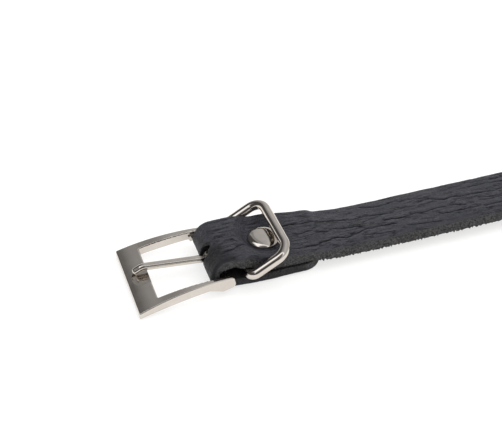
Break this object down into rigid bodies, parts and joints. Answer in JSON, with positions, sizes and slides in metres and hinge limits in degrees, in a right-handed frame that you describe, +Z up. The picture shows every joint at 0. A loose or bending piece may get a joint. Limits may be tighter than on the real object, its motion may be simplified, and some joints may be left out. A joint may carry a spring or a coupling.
{
  "type": "leather strap with pin buckle",
  "caption": "Leather strap folded round the heel bar of a pin buckle, with a prong, a wire keeper loop, a domed rivet and a punched, pointed end.",
  "frame": {"origin": "middle of the overall length and width, on the plane the strap lies on", "axes": "+X from the buckle to the pointed tip, +Y across the strap, +Z up, grain side of the main layer up"},
  "size_m": [0.2292, 0.027, 0.0126],
  "materials": {
    "strap_leather": "embossed black grain, raw cut edges",
    "buckle_nickel": "nickel plated zinc, satin top and polished sides",
    "wire_nickel": "polished nickel plated steel wire",
    "rivet_nickel": "polished nickel plate"
  },
  "bodies": {
    "strap": {"strap": "strap_leather", "rivet_upper_cap": "rivet_nickel", "rivet_socket": "rivet_nickel", "rivet_post": "rivet_nickel", "rivet_lower_cap": "rivet_nickel"},
    "buckle": {"buckle_frame": "buckle_nickel"},
    "prong": {"prong": "wire_nickel"},
    "keeper": {"keeper_loop": "wire_nickel"}
  },
  "joints": [
    {"name": "buckle_swing", "type": "hinge", "parent": "strap", "child": "buckle", "pos_m": [-0.08904, 0, 0.0047], "axis": [0, 1, 0], "range_deg": [0, 20]},
    {"name": "prong_lift", "type": "hinge", "parent": "buckle", "child": "prong", "pos_m": [-0.08904, 0, 0.0047], "axis": [0, 1, 0], "range_deg": [0, 35]},
    {"name": "keeper_lift", "type": "hinge", "parent": "strap", "child": "keeper", "pos_m": [-0.0826, -0.0002, 0.00488], "axis": [0.0384, -0.9993, 0], "range_deg": [0, 70]}
  ]
}
